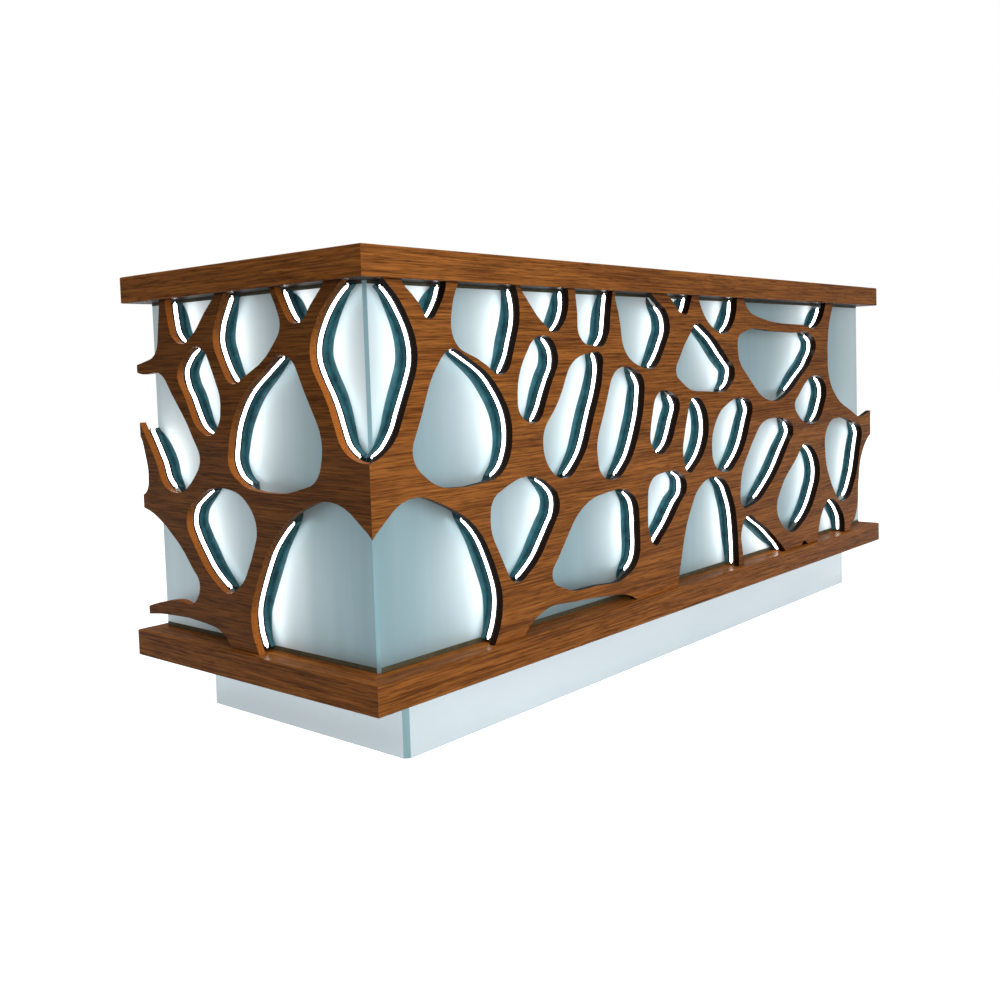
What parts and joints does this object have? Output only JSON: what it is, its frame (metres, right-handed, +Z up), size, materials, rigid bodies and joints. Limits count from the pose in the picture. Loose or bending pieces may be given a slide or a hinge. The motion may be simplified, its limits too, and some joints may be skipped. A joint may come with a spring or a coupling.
{
  "type": "reception desk",
  "caption": "Reception desk with an organic dark wood lattice over lit pale glass, thick counter and base slabs, a recessed glass plinth, and staff-side drawers and cupboard.",
  "frame": {"origin": "floor level under the middle of the desk's plan outline", "axes": "+X along the long front away from the decorated short side, +Y towards the staff side, +Z up; the visitor's front faces -Y and the decorated short side faces -X"},
  "size_m": [2.7, 0.93, 1.15],
  "materials": {
    "walnut_veneer": "dark walnut veneer, glossy lacquer",
    "light_strip": "white light diffuser, lit",
    "backlit_glass": "pale blue back-painted glass, softly lit",
    "corner_glass": "teal polished glass edge",
    "plinth_glass": "pale blue-white glass",
    "grey_board": "grey laminate on board",
    "white_board": "off-white matt laminate on board",
    "black_plastic": "matt black",
    "leg_steel": "zinc-plated steel",
    "grey_metal": "grey powder coat",
    "handle_metal": "satin anodised"
  },
  "bodies": {
    "desk": {"counter_top_front": "walnut_veneer", "counter_top_returns": "walnut_veneer", "base_front": "walnut_veneer", "base_returns": "walnut_veneer", "lattice_front": "walnut_veneer", "lattice_side": "walnut_veneer", "end_panel_right": "walnut_veneer", "return_ends": "walnut_veneer", "worktop": "walnut_veneer", "light_strips_front": "light_strip", "light_strips_side": "light_strip", "glass_front": "backlit_glass", "glass_side": "backlit_glass", "glass_corner_post": "corner_glass", "plinth_corner_posts": "corner_glass", "plinth_front": "plinth_glass", "plinth_sides": "plinth_glass", "plinth_return_ends": "plinth_glass", "backing_front": "grey_board", "backing_side": "grey_board", "wall_ribs": "grey_board", "plinth_inner": "grey_board", "worktop_batten": "grey_board", "lining_front": "white_board", "lining_returns": "white_board", "drawer_cabinet": "white_board", "cupboard_cabinet": "white_board", "cupboard_shelf": "white_board", "leg_flanges": "black_plastic", "leg_feet": "black_plastic", "cabinet_glides": "black_plastic", "cable_grommets": "black_plastic", "driver_inlet": "black_plastic", "leg_tubes": "leg_steel", "runners_fixed": "leg_steel", "hinge_leaves_cabinet": "leg_steel", "hinge_pins": "leg_steel", "cable_tray": "grey_metal", "strip_driver": "grey_metal"},
    "drawer_top": {"drawer_front_top": "walnut_veneer", "drawer_box_top": "white_board", "drawer_handle_top": "handle_metal", "runner_moving_top": "leg_steel"},
    "runner_top": {"runner_middle_top": "leg_steel"},
    "drawer_middle": {"drawer_front_middle": "walnut_veneer", "drawer_box_middle": "white_board", "drawer_handle_middle": "handle_metal", "runner_moving_middle": "leg_steel"},
    "runner_middle": {"runner_middle_middle": "leg_steel"},
    "drawer_bottom": {"drawer_front_bottom": "walnut_veneer", "drawer_box_bottom": "white_board", "drawer_handle_bottom": "handle_metal", "runner_moving_bottom": "leg_steel"},
    "runner_bottom": {"runner_middle_bottom": "leg_steel"},
    "door": {"cupboard_door": "walnut_veneer", "door_handle": "handle_metal", "hinge_leaves_door": "leg_steel"}
  },
  "joints": [
    {"name": "drawer_top_slide", "type": "slide", "parent": "desk", "child": "drawer_top", "axis": [0, 1, 0], "range_m": [0, 0.4]},
    {"name": "runner_top_slide", "type": "slide", "parent": "desk", "child": "runner_top", "axis": [0, 1, 0], "range_m": [0, 0.2]},
    {"name": "drawer_middle_slide", "type": "slide", "parent": "desk", "child": "drawer_middle", "axis": [0, 1, 0], "range_m": [0, 0.4]},
    {"name": "runner_middle_slide", "type": "slide", "parent": "desk", "child": "runner_middle", "axis": [0, 1, 0], "range_m": [0, 0.2]},
    {"name": "drawer_bottom_slide", "type": "slide", "parent": "desk", "child": "drawer_bottom", "axis": [0, 1, 0], "range_m": [0, 0.4]},
    {"name": "runner_bottom_slide", "type": "slide", "parent": "desk", "child": "runner_bottom", "axis": [0, 1, 0], "range_m": [0, 0.2]},
    {"name": "door_hinge", "type": "hinge", "parent": "desk", "child": "door", "pos_m": [-1.0735, 0.422, 0.3675], "axis": [0, 0, 1], "range_deg": [0, 95]}
  ],
  "couplings": [
    {"joint": "runner_top_slide", "follows": "drawer_top_slide", "ratio": 0.5},
    {"joint": "runner_middle_slide", "follows": "drawer_middle_slide", "ratio": 0.5},
    {"joint": "runner_bottom_slide", "follows": "drawer_bottom_slide", "ratio": 0.5}
  ]
}
